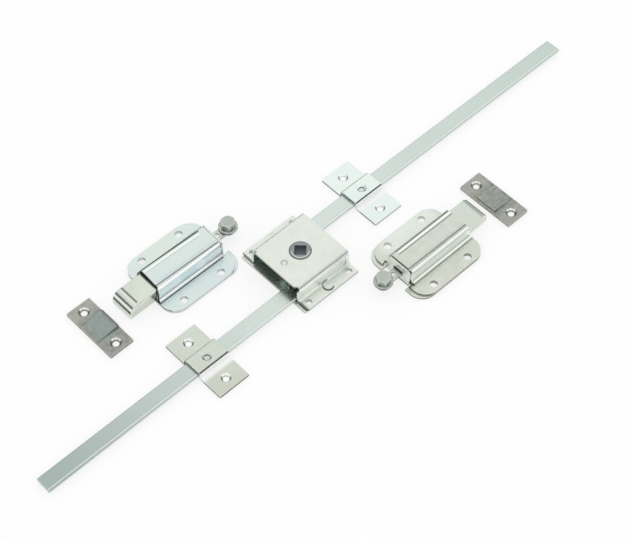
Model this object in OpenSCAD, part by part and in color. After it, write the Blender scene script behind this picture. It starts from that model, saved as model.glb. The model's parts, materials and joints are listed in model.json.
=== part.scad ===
// Slam lock set: a central lock case that turns a pinion, two flat bars with
// rack teeth, two bar guides, two sprung slam latches and two striker plates.
// Origin: hub axis on the mounting face. +X runs along the bars, +Z points away
// from the mounting face.

/* [Lock case] */
// Length of the case along the bars
case_l = 46; // [44:0.5:52]
// Outer width of the case cover
case_w = 46; // [46:0.5:50]
// Height of the case cover above the mounting face
case_h = 16; // [15:0.5:20]
// Thickness of the cover sheet
cover_t = 2; // [1.5:0.1:2]
// Width of each screw flange beside the cover
case_flange = 9; // [9:0.5:12]
// Thickness of the base plate
base_t = 1.5; // [1:0.1:2]
// How far the base plate sticks out at the open end of the case
base_step = 2; // [0:0.1:3]
// How far the base plate stays inside the edges of the screw flanges
base_side = 1.1; // [0:0.1:1.2]
// Inner radius of the cover bends
case_bend_r = 1.2; // [0.6:0.1:2]
// Distance from the middle of a case screw hole to the end of the case
case_hole_edge = 4.8; // [4:0.1:7]
// Diameter of the case screw holes
case_hole_d = 4.5; // [4:0.1:5.5]
// Width of the corner flap on the closed end of the case
flap_w = 3.6; // [3:0.1:5]
// Width of the slit beside the corner flap
flap_slit = 0.6; // [0.4:0.1:1]
// Size of the clipped corners on the closed end of the cover
corner_clip = 0.9; // [0.5:0.1:2.5]
// Radius of the round reliefs at the open corners of the cover
corner_relief_r = 2.1; // [1.5:0.1:2.5]
// Diameter of the rivet heads that hold cover and base together
rivet_head_d = 8; // [6:0.1:8.5]
// Height of the rivet heads
rivet_head_h = 1.1; // [0.8:0.1:1.6]
// Diameter of the rivet shanks
rivet_d = 4; // [3:0.1:4.5]
// Distance from the case wall to the middle of a rivet
rivet_from_wall = 3.8; // [3.4:0.1:4.6]

/* [Drive] */
// Across flats of the square socket
socket_af = 8; // [7:0.1:8.2]
// Diameter of the hub boss that shows in the cover
hub_d = 15; // [14:0.1:15.4]
// How far the hub boss stands proud of the cover
hub_proud = 0.6; // [0:0.1:2]
// Diameter of the lower journal in the base plate
journal_d = 13; // [12.6:0.1:13.4]
// Number of pinion teeth
pinion_teeth = 13; // [13:2:17]
// Pitch radius of the pinion
pitch_r = 10; // [9.8:0.1:10.2]
// Pressure angle of the teeth
pressure_angle = 25; // [24:1:27]
// Play between meshing teeth, along the pitch line
backlash = 0.24; // [0.2:0.02:0.3]
// Quarter turn that draws the bars in
hub_turn = 90; // [60:1:90]
// Radius of the retaining sector above the bars
sector_r = 17; // [16.8:0.1:18]
// Thickness of the retaining sector
sector_t = 3; // [2:0.1:4]
// Distance of the stop rivet from the hub axis
stop_x = 14.4; // [13.8:0.1:14.6]
// Diameter of the stop rivet
stop_d = 5; // [4:0.1:5.2]
// Radial play of a shaft in its hole
shaft_play = 0.08; // [0.05:0.01:0.1]

/* [Bars] */
// Width of the flat bars
bar_w = 12; // [11.5:0.1:12]
// Thickness of the flat bars
bar_t = 3; // [2.5:0.1:3.4]
// Radius of the rolled edges of the bars
bar_edge_r = 0.9; // [0.3:0.1:1.2]
// Distance from the hub axis to the outer end of the lower bar
lower_bar_reach = 229; // [160:1:400]
// Distance from the hub axis to the outer end of the upper bar
upper_bar_reach = 268; // [160:1:400]
// How far the inner bar ends reach past the hub axis
bar_overlap = 4.8; // [4:0.1:4.8]
// Play between a bar and what it slides in
bar_play = 0.25; // [0.15:0.05:0.4]

/* [Bar guides] */
// Length of a guide across the bar
guide_l = 53; // [48:0.5:60]
// Width of a guide along the bar
guide_w = 24.8; // [20:0.2:30]
// Thickness of the guide sheet
guide_t = 2; // [1.5:0.1:2.5]
// Distance between the two guide screw holes
guide_pitch = 36.5; // [34:0.5:42]
// Diameter of the guide holes
guide_hole_d = 4.3; // [3.5:0.1:5]
// Diameter of the guide countersinks
guide_sink_d = 7.4; // [5.5:0.1:8]
// Place of the lower guide along the bars
lower_guide_x = -96; // [-140:1:-60]
// Place of the upper guide along the bars
upper_guide_x = 71.5; // [60:0.5:150]

/* [Slam latches] */
// Length of the latch back plate
plate_l = 62.5; // [60:0.5:70]
// Width of the latch back plate
plate_w = 54; // [50:0.5:60]
// Corner radius of the latch back plate
plate_r = 11; // [8:0.5:14]
// Thickness of the latch back plate
plate_t = 1.5; // [1.2:0.1:2]
// Thickness of the latch cover sheet
hat_t = 1.5; // [1.2:0.1:2]
// Outer width of the raised channel across its shoulders
hat_w = 21.8; // [21.4:0.1:24]
// Height of the raised channel above the mounting face
hat_h = 15; // [14.6:0.1:18]
// Inner radius of the channel bends
hat_bend_r = 1.9; // [1.6:0.1:2.4]
// Slope of the channel walls
hat_draft = 4; // [0:0.5:8]
// Turn of the soft shoulders beside the flat top
shoulder_a = 18; // [0:1:25]
// Inner radius of the soft shoulders
shoulder_r = 10.5; // [6:0.5:12]
// How far the top of the mouth is set back from the front edge
mouth_lean = 2.4; // [0:0.1:4]
// How far the back plate shows past the cover sheet at the tail
tail_step = 3; // [2:0.1:5]
// How far the raised channel ends short of the cover sheet at the tail
channel_step = 3; // [2:0.1:4]
// Distance between the latch screw holes along the bolt
latch_hole_x = 32.4; // [30:0.1:36]
// Distance between the latch screw holes across the bolt
latch_hole_y = 43.2; // [38:0.1:46]
// Diameter of the latch screw holes
latch_hole_d = 5.5; // [4:0.1:6]
// Distance of the latches from the hub axis along the bars
latch_x1 = -60; // [-80:1:-58]
// Distance of the second latch from the hub axis along the bars
latch_x2 = 68; // [60:1:90]
// Distance of the latches from the hub axis across the bars
latch_y = 52; // [52:0.5:80]

/* [Slam bolts] */
// Play between the slam bolt and its channel
bolt_play = 0.3; // [0.2:0.05:0.5]
// Length of the slam bolt
bolt_l = 50; // [46:0.5:54]
// How far the bolt nose stands out of the plates
bolt_reach = 21.5; // [18:0.5:26]
// How much shorter the nose of the second latch is
nose_cut = 3.5; // [0:0.5:4]
// Length of the curved nose
nose_l = 8.5; // [6:0.5:12]
// Height of the flat end face of the nose
nose_end = 3.2; // [2:0.1:5]
// Travel of the slam bolt
bolt_travel = 15.7; // [10:0.1:15.7]
// Width of the tail strap
strap_w = 7.4; // [6:0.1:7.6]
// Thickness of the tail strap
strap_t = 2; // [1.5:0.1:2.2]
// Height of the middle of the strap above the mounting face
strap_z = 7; // [6.9:0.1:7.4]
// Diameter of the small hole in the strap
strap_hole_d = 3.2; // [2:0.1:4]
// Outer diameter of the compression spring
spring_d = 10.2; // [10:0.1:10.4]
// Diameter of the spring wire
wire_d = 1.1; // [0.8:0.05:1.1]
// Number of spring turns
spring_turns = 9; // [6:1:10]
// Across flats of the clamp screw head
screw_af = 10; // [8:0.1:11]
// Diameter of the clamp screw flange
screw_flange_d = 13.4; // [11:0.1:14]
// Thread diameter of the clamp screw
screw_d = 6; // [5:0.5:6]
// Outer diameter of the round press nut under the strap
nut_d = 8.4; // [8:0.1:9]
// Height of the press nut
nut_h = 3; // [2:0.1:4]

/* [Strikers] */
// Length of a striker plate
striker_l = 45.4; // [40:0.2:54]
// Width of a striker plate
striker_w = 19; // [16:0.2:24]
// Thickness of the flat ends
striker_t = 3; // [2.5:0.1:4]
// Rise of the ramp edge above the flat ends
ramp_rise = 2.2; // [1:0.1:3]
// Length of the ramp across the plate
ramp_l = 17; // [14:0.2:20]
// Distance between the striker screw holes
striker_pitch = 32.6; // [29:0.1:38]
// Diameter of the striker holes
striker_hole_d = 4.5; // [3.5:0.1:5]
// Diameter of the striker countersinks
striker_sink_d = 8.6; // [6:0.1:9]
// Distance of the first striker from the hub axis along the bars
striker_x1 = -130; // [-150:1:-126]
// Distance of the second striker from the hub axis along the bars
striker_x2 = 133; // [133:1:160]

/* [Hidden] */
$fn = 48;
eps = 0.01;
wedge_reach = 40;

// Teeth
module_mm = 2 * pitch_r / pinion_teeth;
tooth_pitch = PI * module_mm;
addendum = 0.81 * module_mm;
dedendum = 1.05 * module_mm;
tip_r = pitch_r + addendum;
root_r = pitch_r - dedendum;
base_r = pitch_r * cos(pressure_angle);
flank_steps = 6;
bar_travel = hub_turn * PI / 180 * pitch_r;

// Bars: the teeth tips are the inner edge of each bar
bar_in = pitch_r - addendum;
bar_y = bar_in + bar_w / 2;
bar_lift = 0.2;
bar_z0 = base_t + bar_lift;
bar_z1 = bar_z0 + bar_t;
teeth_reach = sqrt(tip_r * tip_r - bar_in * bar_in);

// Case
case_in_w = case_w - 2 * cover_t;
case_hole_x = case_l - 2 * case_hole_edge;
case_hole_y = case_w + case_flange;
rivet_y = case_w / 2 + rivet_from_wall;
base_w = case_w + 2 * case_flange;
flange_z1 = base_t + cover_t;
sector_gap = 0.3;
sector_z0 = bar_z1 + sector_gap;
sector_z1 = sector_z0 + sector_t;
cover_in_z = case_h - cover_t;
hub_top = case_h + hub_proud;
stop_room = 0.4;
notch_room = 0.6;
stop_half_angle = asin((stop_d / 2 + stop_room) / stop_x);
notch_r = stop_x - stop_d / 2 - notch_room;
ring_t = 1.2;
ring_gap = 0.1;
hub_edge = 0.8;
hub_shoulder = 1;
rivet_room = 0.4;
rivet_taper = 1.6;
stop_collar_h = 1.2;
stop_collar_w = 1;
stop_collar_d = stop_d + 2 * stop_collar_w;
dimple_h = 0.35;
dimple_rim = 0.2;
dimple_slope = 1.3;
dimple_d1 = stop_d - 2 * dimple_rim;
dimple_d0 = dimple_d1 - 2 * dimple_slope;
flap_foot = 0.8;
relief_depth = 2.5;

// Guides
guide_in_z = bar_z1 + bar_play;
guide_top_z = guide_in_z + guide_t;
guide_in_w = bar_w + 2 * bar_play;
guide_bend_r = 0.8;

// Latches
hat_flange_z = plate_t + hat_t;
hat_in_z = hat_h - hat_t;
plate_shift = 1.25;
plate_x1 = plate_l / 2 - plate_shift;
plate_x0 = plate_x1 - plate_l;
hat_x0 = plate_x0 + tail_step;
channel_x0 = hat_x0 + channel_step;
wall_gap = 0.4;
wall_x0 = channel_x0 - plate_t - wall_gap;
wall_drop = 0.4;
wall_side = 0.6;
wall_z1 = hat_h - wall_drop;
wall_half_w = hat_w / 2 - wall_side;
wall_corner_r = hat_bend_r + hat_t;
wall_turn = 90 - hat_draft;
bend_y = hat_w / 2 - (hat_bend_r + hat_t) * sin(wall_turn);
bend_z = hat_in_z - shoulder_r * (1 - cos(shoulder_a)) - hat_bend_r * cos(shoulder_a);
soft_c = [bend_y - (shoulder_r - hat_bend_r) * sin(shoulder_a), hat_in_z - shoulder_r];
foot_z = hat_flange_z + hat_bend_r;
double_r = 2 * hat_bend_r + hat_t;
wall_run = (double_r * cos(wall_turn) + bend_z - foot_z) / sin(wall_turn);
foot_c = [bend_y + double_r * sin(wall_turn) + wall_run * cos(wall_turn), foot_z];
bend_steps = 9;
soft_steps = 4;
bolt_edge_r = hat_bend_r - bolt_play;
bolt_w = 2 * (bend_y + bolt_edge_r);
bolt_z0 = plate_t + bolt_play;
bolt_z1 = bend_z + bolt_edge_r;
bolt_x1 = plate_x1 + bolt_reach;
bolt_x0 = bolt_x1 - bolt_l;
strap_z0 = strap_z - strap_t / 2;
strap_z1 = strap_z + strap_t / 2;
strap_in = 12;
screw_out = 9.5;
screw_x = plate_x0 - screw_out;
strap_x0 = screw_x - strap_w / 2;
strap_hole_out = 3.7;
strap_hole_x = wall_x0 - strap_hole_out;
strap_pad = 1.3;
strap_pad_d = strap_w + 2 * strap_pad;
strap_room = 0.4;
strap_slot_room = 2.2;
strap_slot_h = strap_t + strap_slot_room;
relief_r = 0.9;
pin_d = 3;
pin_proud = 1.5;
pin_x = bolt_x0 + strap_in / 2;
stop_pin_d = 4;
stop_shank_d = 3;
stop_pin_in = 6;
groove_w = stop_pin_d + 2 * bolt_play;
stop_pin_x = plate_x1 - stop_pin_in;
groove_depth = 2.4;
groove_room = 0.4;
spring_gap = 0.05;
spring_x0 = wall_x0 + plate_t + spring_gap;
spring_x1 = bolt_x0 - spring_gap;
nut_edge = 0.5;
screw_rim_t = 1.1;
screw_cone_t = 1;
screw_head_h = 6.6;
ramp_edge = 1;

// Two-dimensional sheet profile: straight runs and bends, one after another.
// Each entry is [straight length, bend angle, inner bend radius].
module ring_part(r, t, a) {
    intersection() {
        difference() {
            circle(r = r + t);
            circle(r = r);
        }
        polygon([[0, 0], [0, -wedge_reach], [wedge_reach * tan(a / 2), -wedge_reach],
            [wedge_reach * sin(a), -wedge_reach * cos(a)]]);
    }
}

module folded_sheet(runs, t, i = 0) {
    if (i < len(runs)) {
        run = runs[i];
        square([run[0], t]);
        if (run[1] > 0) translate([run[0], t + run[2]]) {
            ring_part(run[2], t, run[1]);
            rotate(run[1]) translate([0, -t - run[2]]) folded_sheet(runs, t, i + 1);
        }
        if (run[1] < 0) translate([run[0], -run[2]]) {
            mirror([0, 1]) ring_part(run[2], t, -run[1]);
            rotate(run[1]) translate([0, run[2]]) folded_sheet(runs, t, i + 1);
        }
    }
}

// A hat section across Y, extruded along X from x0
module hat_section(total_w, wall_w, z0, top_z, t, r, x0, l) {
    flange = (total_w - wall_w) / 2 - r;
    wall = top_z - z0 - 2 * t - 2 * r;
    top = wall_w - 2 * t - 2 * r;
    translate([x0, -total_w / 2, z0]) rotate([90, 0, 90]) linear_extrude(l)
        folded_sheet([[flange, 90, r], [wall, -90, r], [top, -90, r], [wall, 90, r],
            [flange, 0, 0]], t);
}

// Points on an arc. Angles are given from straight up, and a negative radius
// puts the points on the far side of the centre.
function arc_points(c, r, a0, a1, n) =
    [for (i = [0 : n]) let (a = a0 + (a1 - a0) * i / n) c + r * [sin(a), cos(a)]];

// One side of the latch cover profile: its inner face where d is 0, its outer
// face where d is the sheet thickness, from the middle out to the flange
function channel_side(d) = concat(
    arc_points(soft_c, shoulder_r + d, 0, shoulder_a, soft_steps),
    arc_points([bend_y, bend_z], hat_bend_r + d, shoulder_a, wall_turn, bend_steps),
    arc_points(foot_c, d - hat_bend_r - hat_t, wall_turn, 0, bend_steps));
function flipped(pts) = [for (i = [len(pts) - 1 : -1 : 0]) [-pts[i][0], pts[i][1]]];
function backward(pts) = [for (i = [len(pts) - 1 : -1 : 0]) pts[i]];

module latch_channel(x0, l) {
    half = concat(channel_side(hat_t), [[plate_w / 2, hat_flange_z], [plate_w / 2, plate_t]],
        backward(channel_side(0)));
    translate([x0, 0, 0]) rotate([90, 0, 90]) linear_extrude(l)
        polygon(concat(half, backward(flipped(backward(half)))));
}

// Rectangle with true round corners
module round_rect(l, w, r) {
    square([l - 2 * r, w], center = true);
    square([l, w - 2 * r], center = true);
    for (sx = [-1, 1], sy = [-1, 1])
        translate([sx * (l / 2 - r), sy * (w / 2 - r)]) circle(r = r);
}

module four_holes(dx, dy, d, z0, z1) {
    for (sx = [-1, 1], sy = [-1, 1])
        translate([sx * dx / 2, sy * dy / 2, z0 - 1]) cylinder(d = d, h = z1 - z0 + 2);
}

module countersunk_hole(d, sink_d, z0, z1) {
    translate([0, 0, z0 - 1]) cylinder(d = d, h = z1 - z0 + 2);
    translate([0, 0, z1 - (sink_d - d) / 2]) cylinder(d1 = d, d2 = sink_d, h = (sink_d - d) / 2);
    translate([0, 0, z1 - eps]) cylinder(d = sink_d, h = 1);
}

// Involute pinion outline
function involute(a) = base_r * [cos(a) + a * PI / 180 * sin(a), sin(a) - a * PI / 180 * cos(a)];
function roll_angle(r) = sqrt(max(0, r * r / (base_r * base_r) - 1)) * 180 / PI;
function turned(p, a) = [p[0] * cos(a) - p[1] * sin(a), p[0] * sin(a) + p[1] * cos(a)];
function flank(a) = involute(roll_angle(base_r + (tip_r - base_r) * a / flank_steps));
lower_phase = pinion_teeth % 2 * tooth_pitch / 2;
inv_pitch = roll_angle(pitch_r) - atan(roll_angle(pitch_r) * PI / 180);
half_tooth = (tooth_pitch - backlash) / 2 / pitch_r * 90 / PI + inv_pitch;
tooth_side = [for (i = [0 : flank_steps]) turned(flank(i), -half_tooth)];
function pinion_tooth(a) = concat(
    [turned([root_r, 0], a - half_tooth)],
    [for (p = tooth_side) turned(p, a)],
    [for (i = [flank_steps : -1 : 0]) turned([tooth_side[i][0], -tooth_side[i][1]], a)],
    [turned([root_r, 0], a + half_tooth)]);

module pinion_outline() {
    polygon([for (k = [0 : pinion_teeth - 1])
        for (p = pinion_tooth(90 + k * 360 / pinion_teeth)) p]);
}

// One gap between rack teeth, centred on X = 0, cut into the edge at the tip line
module rack_gap() {
    half = tooth_pitch / 4 + backlash / 4;
    slope = tan(pressure_angle);
    open = half + (addendum + 1) * slope;
    deep = half - dedendum * slope;
    polygon([[-open, -addendum - 1], [open, -addendum - 1], [deep, dedendum], [-deep, dedendum]]);
}

module bar_section() {
    translate([-bar_w / 2 + bar_edge_r, -bar_t / 2]) square([bar_w - 2 * bar_edge_r, bar_t]);
    translate([-bar_w / 2, -bar_t / 2 + bar_edge_r]) square([bar_w, bar_t - 2 * bar_edge_r]);
    for (sx = [-1, 1], sy = [-1, 1])
        translate([sx * (bar_w / 2 - bar_edge_r), sy * (bar_t / 2 - bar_edge_r)])
            circle(r = bar_edge_r);
}

// Bar on the +Y side that runs towards +X. first_gap is the phase of its teeth.
module toothed_bar(reach, first_gap) {
    toothed = teeth_reach + bar_travel;
    first = ceil((-bar_overlap - first_gap) / tooth_pitch) - 1;
    last = floor((toothed - first_gap) / tooth_pitch);
    difference() {
        translate([-bar_overlap, bar_y, bar_z0 + bar_t / 2]) rotate([90, 0, 90])
            linear_extrude(reach + bar_overlap) bar_section();
        for (k = [first : last])
            translate([first_gap + k * tooth_pitch, pitch_r, bar_z0 - 1])
                linear_extrude(bar_t + 2) rack_gap();
    }
}

module lock_base_plate() {
    color("gainsboro") difference() {
        translate([-case_l / 2 - base_step, base_side - base_w / 2, 0])
            cube([case_l + base_step, base_w - 2 * base_side, base_t]);
        translate([0, 0, -1]) cylinder(d = journal_d + 2 * shaft_play, h = base_t + 2);
        four_holes(case_hole_x, case_hole_y, case_hole_d, 0, base_t);
        for (sy = [-1, 1]) translate([0, sy * rivet_y, -1])
            cylinder(d = rivet_d, h = base_t + 2);
    }
}

module lock_cover() {
    color("gainsboro") difference() {
        union() {
            hat_section(base_w, case_w, base_t, case_h, cover_t, case_bend_r, -case_l / 2, case_l);
            case_end_wall();
        }
        translate([0, 0, cover_in_z - 1]) cylinder(d = hub_d + 2 * shaft_play, h = cover_t + 2);
        translate([-stop_x, 0, cover_in_z - 1]) cylinder(d = stop_d, h = cover_t + 2);
        four_holes(case_hole_x, case_hole_y, case_hole_d, base_t, flange_z1);
        for (sy = [-1, 1]) {
            translate([0, sy * rivet_y, base_t - 1]) cylinder(d = rivet_d, h = cover_t + 2);
            translate([0, sy * rivet_y, flange_z1])
                cylinder(d = rivet_head_d + 2 * rivet_room, h = rivet_head_h + rivet_room);
            translate([-case_l / 2, sy * (case_w / 2 - corner_relief_r), cover_in_z - relief_depth])
                cylinder(r = corner_relief_r, h = cover_t + relief_depth + 1);
            scale([1, sy, 1]) flap_cuts();
        }
    }
}

// J-shaped slit beside the corner flap, and the clipped corner above it
module flap_cuts() {
    slit_x = case_l / 2 - flap_w;
    slit_z0 = flange_z1 + case_bend_r + flap_foot;
    slit_z1 = case_h - cover_t - case_bend_r;
    translate([slit_x, case_w / 2 - cover_t - 1, slit_z0])
        cube([flap_slit, cover_t + 2, slit_z1 - slit_z0]);
    translate([slit_x - flap_slit, case_w / 2 - cover_t - 1, slit_z0])
        rotate([-90, 0, 0]) cylinder(r = 1.5 * flap_slit, h = cover_t + 2);
    translate([case_l / 2, case_w / 2, case_h]) rotate([0, 0, 45])
        cube([2 * corner_clip, 4 * corner_clip, 2 * (case_bend_r + cover_t)], center = true);
}

// Closed end of the cover, with a mouth for the upper bar
module case_end_wall() {
    wall_z0 = base_t;
    difference() {
        translate([case_l / 2 - cover_t, -case_in_w / 2 - eps, wall_z0])
            cube([cover_t, case_in_w + 2 * eps, cover_in_z + eps - wall_z0]);
        translate([case_l / 2 - cover_t - 1, bar_in - bar_play, wall_z0 - 1])
            cube([cover_t + 2, case_w, bar_z1 + bar_play - wall_z0 + 1]);
    }
}

module lock_rivets() {
    color("silver") for (sy = [-1, 1]) translate([0, sy * rivet_y, 0]) {
        cylinder(d = rivet_d, h = flange_z1);
        translate([0, 0, flange_z1]) cylinder(d1 = rivet_head_d, d2 = rivet_head_d - rivet_taper,
            h = rivet_head_h);
    }
}

module lock_stop_rivet() {
    color("silver") translate([-stop_x, 0, 0]) difference() {
        union() {
            translate([0, 0, bar_z1 + stop_room]) cylinder(d = stop_d, h = case_h - bar_z1 - stop_room);
            translate([0, 0, cover_in_z - stop_collar_h]) cylinder(d = stop_collar_d, h = stop_collar_h);
        }
        translate([0, 0, case_h - dimple_h]) cylinder(d1 = dimple_d0, d2 = dimple_d1,
            h = dimple_h + eps);
    }
}

module drive_hub() {
    color([0.52, 0.54, 0.54]) difference() {
        union() {
            cylinder(d = journal_d, h = bar_z0);
            translate([0, 0, bar_z0]) linear_extrude(bar_t) pinion_outline();
            translate([0, 0, bar_z1]) cylinder(r = root_r, h = sector_z0 - bar_z1);
            hub_sector();
            translate([0, 0, sector_z1])
                cylinder(r = root_r + hub_shoulder, h = cover_in_z - ring_t - ring_gap - sector_z1);
            translate([0, 0, bar_z0]) cylinder(d = hub_d, h = hub_top - hub_edge - bar_z0);
            translate([0, 0, hub_top - hub_edge])
                cylinder(d1 = hub_d, d2 = hub_d - 2 * hub_edge, h = hub_edge);
        }
        rotate(45) translate([-socket_af / 2, -socket_af / 2, -1])
            cube([socket_af, socket_af, hub_top + 2]);
    }
}

// Disc that keeps the bars down, with a notch that meets the stop rivet at
// both ends of the quarter turn
module hub_sector() {
    gap = hub_turn + 2 * stop_half_angle;
    translate([0, 0, sector_z0]) linear_extrude(sector_t) difference() {
        circle(r = sector_r);
        rotate(180 + stop_half_angle - gap) difference() {
            intersection() {
                circle(r = sector_r + 1);
                polygon([[0, 0], [wedge_reach, 0], [wedge_reach, wedge_reach],
                    [wedge_reach * cos(gap), wedge_reach * sin(gap)]]);
            }
            circle(r = notch_r);
        }
    }
}

module hub_bearing_ring() {
    color("tan") translate([0, 0, cover_in_z - ring_t]) difference() {
        cylinder(r = root_r + hub_shoulder, h = ring_t);
        translate([0, 0, -1]) cylinder(d = hub_d + 2 * shaft_play, h = ring_t + 2);
    }
}

module upper_bar() {
    color([0.78, 0.82, 0.81]) toothed_bar(upper_bar_reach, 0);
}

module lower_bar() {
    color([0.78, 0.82, 0.81]) rotate(180) toothed_bar(lower_bar_reach, lower_phase);
}

// Guide centred on its bar
module bar_guide() {
    color([0.80, 0.82, 0.76]) difference() {
        hat_section(guide_l, guide_in_w + 2 * guide_t, 0, guide_top_z, guide_t, guide_bend_r,
            -guide_w / 2, guide_w);
        for (sy = [-1, 1]) translate([0, sy * guide_pitch / 2, 0])
            countersunk_hole(guide_hole_d, guide_sink_d, 0, guide_t);
        countersunk_hole(guide_hole_d, guide_sink_d, guide_in_z, guide_top_z);
    }
}

module lower_guide() {
    translate([lower_guide_x, -bar_y, 0]) bar_guide();
}

module upper_guide() {
    translate([upper_guide_x, bar_y, 0]) bar_guide();
}

// Latch parts are drawn with the bolt pointing to +X, about the middle of the
// screw holes, and placed by latch_at
module latch_at(n) {
    translate([n == 1 ? latch_x1 : latch_x2, n == 1 ? latch_y : -latch_y, 0])
        rotate(n == 1 ? 180 : 0) children();
}

module back_plate() {
    slot_w = 2 * (wall_half_w + plate_t / 2);
    color([0.78, 0.82, 0.82]) difference() {
        union() {
            translate([plate_x1 - plate_l / 2, 0, 0]) linear_extrude(plate_t) difference() {
                round_rect(plate_l, plate_w, plate_r);
                translate([-plate_l / 2, 0]) square([2 * (wall_x0 - plate_x0), slot_w], center = true);
                for (sy = [-1, 1]) translate([-plate_l / 2, sy * (wall_half_w + plate_t / 4)])
                    square([2 * (channel_x0 - plate_x0), plate_t / 2], center = true);
            }
            translate([wall_x0, 0, 0]) rotate([90, 0, 90]) linear_extrude(plate_t) end_wall_outline();
        }
        four_holes(latch_hole_x, latch_hole_y, latch_hole_d, 0, plate_t);
        translate([wall_x0 - 1, -strap_w / 2 - strap_room, strap_z0 - strap_room])
            cube([plate_t + 2, strap_w + 2 * strap_room, strap_slot_h]);
        translate([stop_pin_x, 0, -1]) cylinder(d = stop_shank_d, h = plate_t + 2);
    }
}

// End wall that is bent up from the back plate, as wide as the channel
module end_wall_outline() {
    square_z1 = wall_z1 - wall_corner_r;
    translate([-wall_half_w, 0]) square([2 * wall_half_w, square_z1]);
    translate([-wall_half_w + wall_corner_r, square_z1 - eps])
        square([2 * (wall_half_w - wall_corner_r), wall_corner_r + eps]);
    for (sy = [-1, 1]) translate([sy * (wall_half_w - wall_corner_r), square_z1])
        circle(r = wall_corner_r);
}

module cover_plate() {
    color([0.80, 0.83, 0.82]) difference() {
        intersection() {
            latch_channel(hat_x0, plate_x1 - hat_x0);
            translate([plate_x1 - plate_l / 2, 0, 0]) linear_extrude(hat_h + 1)
                cover_outline();
        }
        four_holes(latch_hole_x, latch_hole_y, latch_hole_d, plate_t, hat_flange_z);
        mouth_cut();
        translate([hat_x0 - 1, -foot_c[0], 0])
            cube([channel_step + 1, 2 * foot_c[0], hat_h + 1]);
        for (sy = [-1, 1]) {
            translate([channel_x0, sy * foot_c[0], 0]) cylinder(r = relief_r, h = hat_in_z / 2);
            translate([channel_x0, sy * hat_w / 2, bend_z]) rotate([90, 0, 0])
                cylinder(r = relief_r, h = 3 * hat_t, center = true);
        }
    }
}

// The mouth of the channel leans back towards its top
module mouth_cut() {
    translate([0, plate_w / 2, 0]) rotate([90, 0, 0]) linear_extrude(plate_w)
        polygon([[plate_x1, hat_flange_z], [plate_x1 + 1, hat_flange_z],
            [plate_x1 + 1, hat_h + 1], [plate_x1 - mouth_lean, hat_h + 1]]);
}

module cover_outline() {
    translate([tail_step / 2, 0]) round_rect(plate_l - tail_step, plate_w, plate_r);
}

module latch_stop_pin() {
    color("silver") translate([stop_pin_x, 0, 0]) {
        cylinder(d = stop_shank_d, h = plate_t);
        translate([0, 0, plate_t]) cylinder(d = stop_pin_d, h = groove_depth - groove_room);
    }
}

// Curved nose: a quarter ellipse from the top face down to the end face at x1
module bolt_outline(x1) {
    steps = 12;
    rise = bolt_z1 - bolt_z0 - nose_end;
    polygon(concat(
        [[bolt_x0, bolt_z0], [x1, bolt_z0]],
        [for (i = [0 : steps]) [x1 - nose_l + nose_l * cos(i * 90 / steps),
            bolt_z0 + nose_end + rise * sin(i * 90 / steps)]],
        [[bolt_x0, bolt_z1]]));
}

// Section across the bolt, with its upper edges rounded to suit the channel
module bolt_section() {
    translate([-bolt_w / 2, bolt_z0]) square([bolt_w, bend_z - bolt_z0]);
    translate([-bend_y, bend_z - eps]) square([2 * bend_y, bolt_edge_r + eps]);
    for (sy = [-1, 1]) translate([sy * bend_y, bend_z]) circle(r = bolt_edge_r);
}

module slam_bolt(x1) {
    groove_x1 = stop_pin_x + stop_pin_d / 2 + bolt_travel + bolt_play;
    groove_x0 = stop_pin_x - groove_w / 2;
    color([0.70, 0.70, 0.66]) difference() {
        intersection() {
            translate([0, bolt_w / 2, 0]) rotate([90, 0, 0]) linear_extrude(bolt_w) bolt_outline(x1);
            translate([bolt_x0, 0, 0]) rotate([90, 0, 90]) linear_extrude(bolt_l) bolt_section();
        }
        translate([bolt_x0 - 1, -strap_w / 2, strap_z0]) cube([strap_in + 1, strap_w, strap_t]);
        translate([pin_x, 0, bolt_z0 - 1]) cylinder(d = pin_d, h = strap_z1 - bolt_z0 + 1 + pin_proud);
        translate([groove_x0, -groove_w / 2, bolt_z0 - 1])
            cube([groove_x1 - groove_x0, groove_w, groove_depth + 1]);
    }
}

module tail_strap() {
    color([0.72, 0.72, 0.69]) difference() {
        translate([0, 0, strap_z0]) linear_extrude(strap_t) union() {
            translate([screw_x, -strap_w / 2]) square([bolt_x0 + strap_in - screw_x, strap_w]);
            translate([screw_x, 0]) circle(d = strap_pad_d);
        }
        translate([screw_x, 0, 0]) cylinder(d = screw_d, h = hat_h);
        translate([strap_hole_x, 0, 0]) cylinder(d = strap_hole_d, h = hat_h);
        translate([pin_x, 0, 0]) cylinder(d = pin_d, h = hat_h);
    }
}

module cross_pin() {
    pin_l = strap_z1 - bolt_z0 + pin_proud;
    color("dimgray") translate([pin_x, 0, bolt_z0]) cylinder(d = pin_d, h = pin_l);
}

// Compression spring around the strap, swept along X
module coil_spring() {
    sides = 8;
    per_turn = 14;
    n = spring_turns * per_turn;
    r = wire_d / 2;
    coil_r = (spring_d - wire_d) / 2;
    l = spring_x1 - spring_x0 - wire_d;
    pts = [for (i = [0 : n]) for (j = [0 : sides - 1])
        let (a = 360 * i / per_turn, b = 360 * j / sides, q = coil_r + r * cos(b))
        [spring_x0 + r + l * i / n + r * sin(b), q * cos(a), strap_z + q * sin(a)]];
    faces = concat(
        [[for (j = [0 : sides - 1]) j]],
        [[for (j = [sides - 1 : -1 : 0]) n * sides + j]],
        [for (i = [0 : n - 1]) for (j = [0 : sides - 1])
            let (k = (j + 1) % sides)
            [i * sides + j, (i + 1) * sides + j, (i + 1) * sides + k, i * sides + k]]);
    color("slategray") polyhedron(pts, faces, 4);
}

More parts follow.
